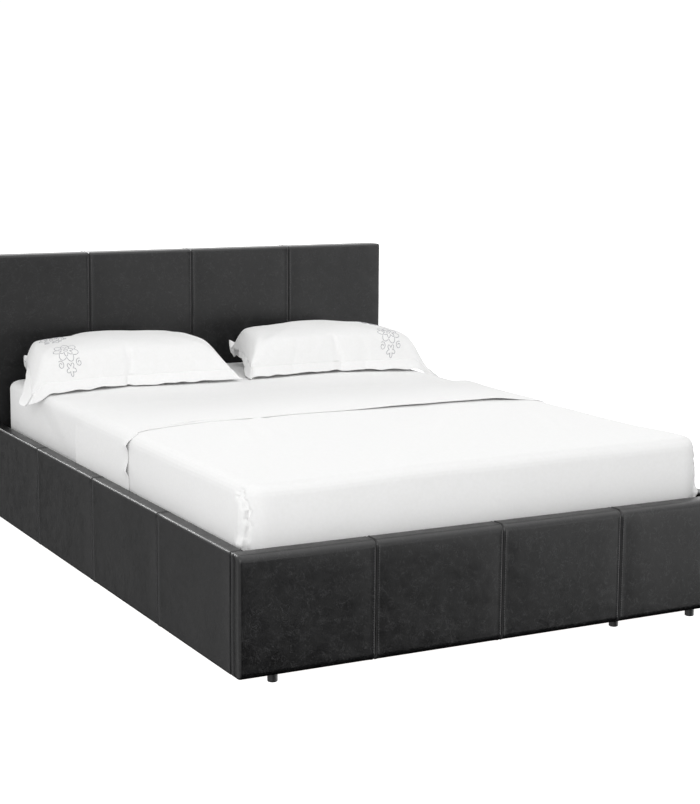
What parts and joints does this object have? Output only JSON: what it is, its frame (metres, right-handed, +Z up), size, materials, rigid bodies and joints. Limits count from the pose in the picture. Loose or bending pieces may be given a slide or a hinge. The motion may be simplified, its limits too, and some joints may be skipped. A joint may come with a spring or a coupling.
{
  "type": "lift-up storage bed",
  "caption": "Double bed with padded, coated-cloth headboard and low padded sides, slatted lift-up base over a storage well, mattress and white bedding.",
  "frame": {"origin": "on the floor, under the centre of the bounding box", "axes": "+Z up, +Y from the foot of the bed to its head, +X to the right when you stand at the foot and look at the headboard"},
  "size_m": [1.48, 2.067, 0.874],
  "materials": {
    "coated_leather": "satin",
    "core_timber": "matte",
    "dust_lining": "matte",
    "hardboard": "matte",
    "zinc_steel": "satin",
    "black_steel": "satin",
    "chrome_rod": "polished",
    "black_plastic": "matte",
    "beech_laminate": "satin",
    "webbing": "matte",
    "mattress_ticking": "matte",
    "white_cotton": "matte"
  },
  "bodies": {
    "bedstead": {"headboard_core": "core_timber", "headboard_cover": "coated_leather", "headboard_lining": "dust_lining", "footboard_core": "core_timber", "footboard_cover": "coated_leather", "footboard_lining": "dust_lining", "left_rail_core": "core_timber", "right_rail_core": "core_timber", "left_rail_cover": "coated_leather", "right_rail_cover": "coated_leather", "corner_brackets": "zinc_steel", "corner_bolts": "zinc_steel", "glides": "black_plastic", "floor_beam_foot": "core_timber", "floor_beam_middle": "core_timber", "floor_beam_head": "core_timber", "floor_panel_foot": "hardboard", "floor_panel_head": "hardboard", "left_support_ledge": "core_timber", "right_support_ledge": "core_timber", "foot_support_ledge": "core_timber", "left_hinge_bracket": "black_steel", "right_hinge_bracket": "black_steel", "left_hinge_pins": "zinc_steel", "right_hinge_pins": "zinc_steel", "left_strut_bracket": "zinc_steel", "right_strut_bracket": "zinc_steel"},
    "left_arm": {"left_lift_arm": "black_steel", "left_arm_stud": "zinc_steel"},
    "left_link": {"left_guide_link": "black_steel", "left_guide_rivet": "zinc_steel"},
    "left_strut_body": {"left_strut_cylinder": "black_steel"},
    "left_strut_piston": {"left_strut_rod": "chrome_rod"},
    "right_arm": {"right_lift_arm": "black_steel", "right_arm_stud": "zinc_steel"},
    "right_link": {"right_guide_link": "black_steel", "right_guide_rivet": "zinc_steel"},
    "right_strut_body": {"right_strut_cylinder": "black_steel"},
    "right_strut_piston": {"right_strut_rod": "chrome_rod"},
    "lift_base": {"left_side_tube": "black_steel", "right_side_tube": "black_steel", "foot_tube": "black_steel", "head_tube": "black_steel", "centre_tube": "black_steel", "left_lift_bracket": "black_steel", "right_lift_bracket": "black_steel", "left_lift_pin": "zinc_steel", "right_lift_pin": "zinc_steel", "slats": "beech_laminate", "left_slat_seats": "black_plastic", "right_slat_seats": "black_plastic", "centre_slat_pads": "black_plastic", "mattress_stop": "black_steel", "pull_strap": "webbing", "mattress": "mattress_ticking", "bed_cover": "white_cotton", "cover_turnback": "white_cotton", "left_pillow": "white_cotton", "right_pillow": "white_cotton"}
  },
  "joints": [
    {"name": "left_arm_pivot", "type": "hinge", "parent": "bedstead", "child": "left_arm", "pos_m": [-0.669, 0.21, 0.08], "axis": [1, 0, 0], "range_deg": [0, 48.9]},
    {"name": "base_lift", "type": "hinge", "parent": "left_arm", "child": "lift_base", "pos_m": [0, 0.54, 0.179], "axis": [-1, 0, 0], "range_deg": [0, 83.3]},
    {"name": "left_link_pivot", "type": "hinge", "parent": "bedstead", "child": "left_link", "pos_m": [-0.669, 0.002, 0.077], "axis": [1, 0, 0], "range_deg": [0, 45.63]},
    {"name": "left_strut_pivot", "type": "hinge", "parent": "bedstead", "child": "left_strut_body", "pos_m": [-0.669, 0.84, 0.075], "axis": [-1, 0, 0], "range_deg": [0, 5.45]},
    {"name": "left_strut_slide", "type": "slide", "parent": "left_strut_body", "child": "left_strut_piston", "axis": [0, -0.9939, 0.1106], "range_m": [0, 0.08789]},
    {"name": "right_arm_pivot", "type": "hinge", "parent": "bedstead", "child": "right_arm", "pos_m": [0.669, 0.21, 0.08], "axis": [1, 0, 0], "range_deg": [0, 48.9]},
    {"name": "right_link_pivot", "type": "hinge", "parent": "bedstead", "child": "right_link", "pos_m": [0.669, 0.002, 0.077], "axis": [1, 0, 0], "range_deg": [0, 45.63]},
    {"name": "right_strut_pivot", "type": "hinge", "parent": "bedstead", "child": "right_strut_body", "pos_m": [0.669, 0.84, 0.075], "axis": [-1, 0, 0], "range_deg": [0, 5.45]},
    {"name": "right_strut_slide", "type": "slide", "parent": "right_strut_body", "child": "right_strut_piston", "axis": [0, -0.9939, 0.1106], "range_m": [0, 0.08789]}
  ],
  "couplings": [
    {"joint": "left_arm_pivot", "follows": "base_lift", "ratio": 0.58703},
    {"joint": "left_link_pivot", "follows": "base_lift", "ratio": 0.54773},
    {"joint": "left_strut_pivot", "follows": "base_lift", "ratio": 0.065438},
    {"joint": "left_strut_slide", "follows": "base_lift", "m_per_rad": 0.060452},
    {"joint": "right_arm_pivot", "follows": "base_lift", "ratio": 0.58703},
    {"joint": "right_link_pivot", "follows": "base_lift", "ratio": 0.54773},
    {"joint": "right_strut_pivot", "follows": "base_lift", "ratio": 0.065438},
    {"joint": "right_strut_slide", "follows": "base_lift", "m_per_rad": 0.060452}
  ]
}
